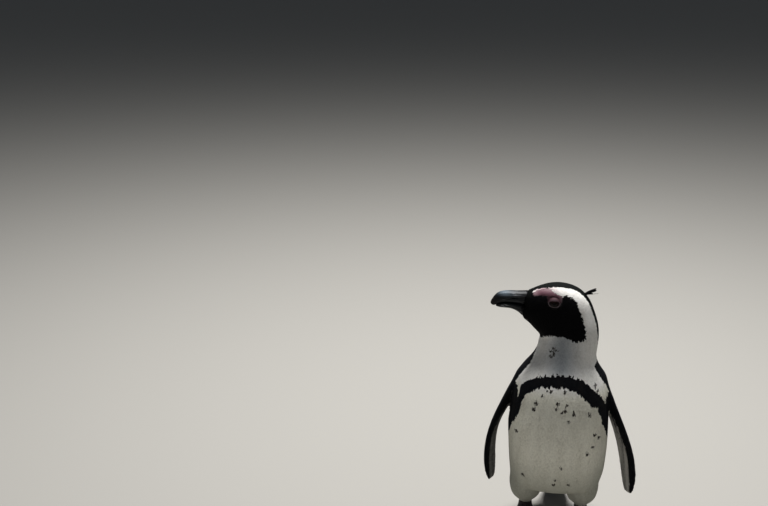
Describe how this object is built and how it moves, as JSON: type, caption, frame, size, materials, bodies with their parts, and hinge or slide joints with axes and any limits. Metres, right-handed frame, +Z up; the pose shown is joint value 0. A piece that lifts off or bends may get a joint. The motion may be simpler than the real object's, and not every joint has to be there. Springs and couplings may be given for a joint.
{
  "type": "african penguin model",
  "caption": "Life-size African penguin standing upright with its head turned to its right, wings held a little away and tail on the floor.",
  "frame": {"origin": "on the floor, under the middle of the whole model's box", "axes": "+Z up; the body faces -Y, with its left side at +X; the head is turned to look along -X"},
  "size_m": [0.2408, 0.1892, 0.4063],
  "materials": {
    "white_plumage": "dense short white feathers",
    "black_plumage": "dense short black feathers",
    "bill_horn": "dark horn with a dull shine",
    "foot_skin": "black scaly skin with pink blotches",
    "claw_horn": "dark horn",
    "eye": "dark brown, glossy"
  },
  "bodies": {
    "root": {"trunk": "white_plumage", "neck": "white_plumage", "head": "black_plumage", "bill_upper": "bill_horn", "bill_lower": "bill_horn", "eye_left": "eye", "eye_right": "eye", "wing_left": "black_plumage", "wing_right": "black_plumage", "tail": "black_plumage", "leg_left": "white_plumage", "leg_right": "white_plumage", "foot_left": "foot_skin", "foot_right": "foot_skin", "claw_inner_left": "claw_horn", "claw_middle_left": "claw_horn", "claw_outer_left": "claw_horn", "claw_hind_left": "claw_horn", "claw_inner_right": "claw_horn", "claw_middle_right": "claw_horn", "claw_outer_right": "claw_horn", "claw_hind_right": "claw_horn"}
  },
  "joints": []
}
